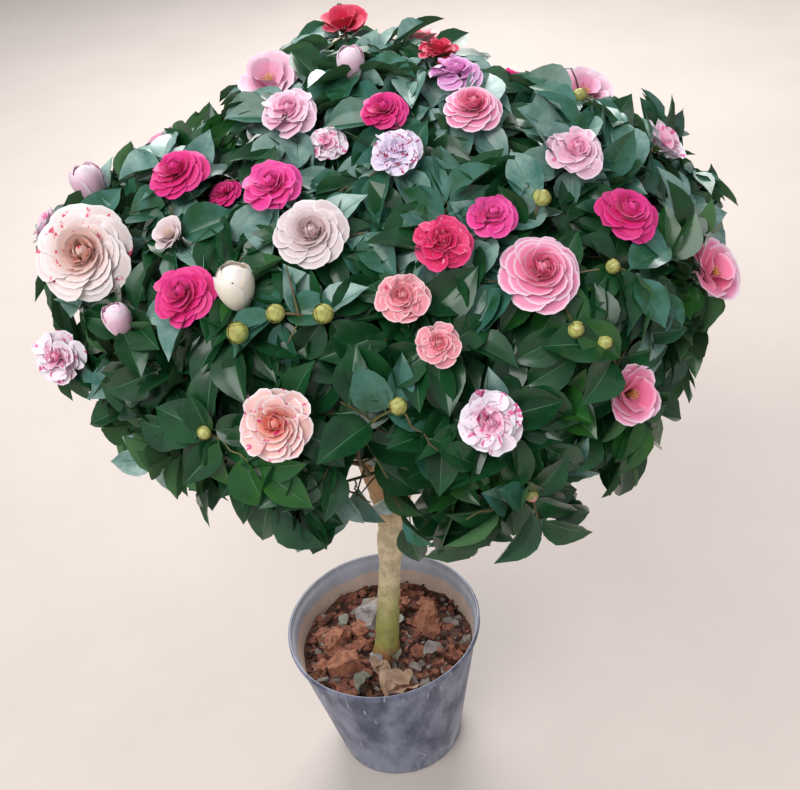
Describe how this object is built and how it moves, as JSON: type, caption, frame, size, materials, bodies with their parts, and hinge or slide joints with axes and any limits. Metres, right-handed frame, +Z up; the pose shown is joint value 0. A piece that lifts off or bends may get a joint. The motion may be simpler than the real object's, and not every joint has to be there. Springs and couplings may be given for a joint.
{
  "type": "potted camellia shrub",
  "caption": "Potted camellia grown as a standard: a clean leaning stem in a plastic nursery pot under a round crown of glossy leaves, buds and rose-form blooms.",
  "frame": {"origin": "centre of the pot's flat underside", "axes": "+Z up, the plant's front faces -Y, +X to the right of someone facing that front"},
  "size_m": [0.8695, 0.8497, 1.1716],
  "materials": {
    "pot": "weathered blue-grey plastic with pale scuffs",
    "potting_mix": "loose reddish-brown bark and coco chips",
    "bark": "smooth yellow-green to brown bark",
    "foliage": "dark glossy green leaves",
    "petals": "soft pink, red and white petals"
  },
  "bodies": {
    "root": {"pot": "pot", "potting_mix": "potting_mix", "trunk": "bark", "bough_top": "bark", "bough_lower_front_left": "bark", "bough_lower_front_right": "bark", "bough_lower_back": "bark", "bough_lower_front": "bark", "bough_lower_back_right": "bark", "bough_lower_back_left": "bark", "bough_upper_left": "bark", "bough_upper_front": "bark", "bough_upper_right": "bark", "bough_upper_back": "bark", "foliage_lower_front": "foliage", "foliage_lower_front_right": "foliage", "foliage_lower_back_right": "foliage", "foliage_lower_back": "foliage", "foliage_lower_back_left": "foliage", "foliage_lower_front_left": "foliage", "foliage_upper_front": "foliage", "foliage_upper_right": "foliage", "foliage_upper_back": "foliage", "foliage_upper_left": "foliage", "foliage_top": "foliage"}
  },
  "joints": []
}
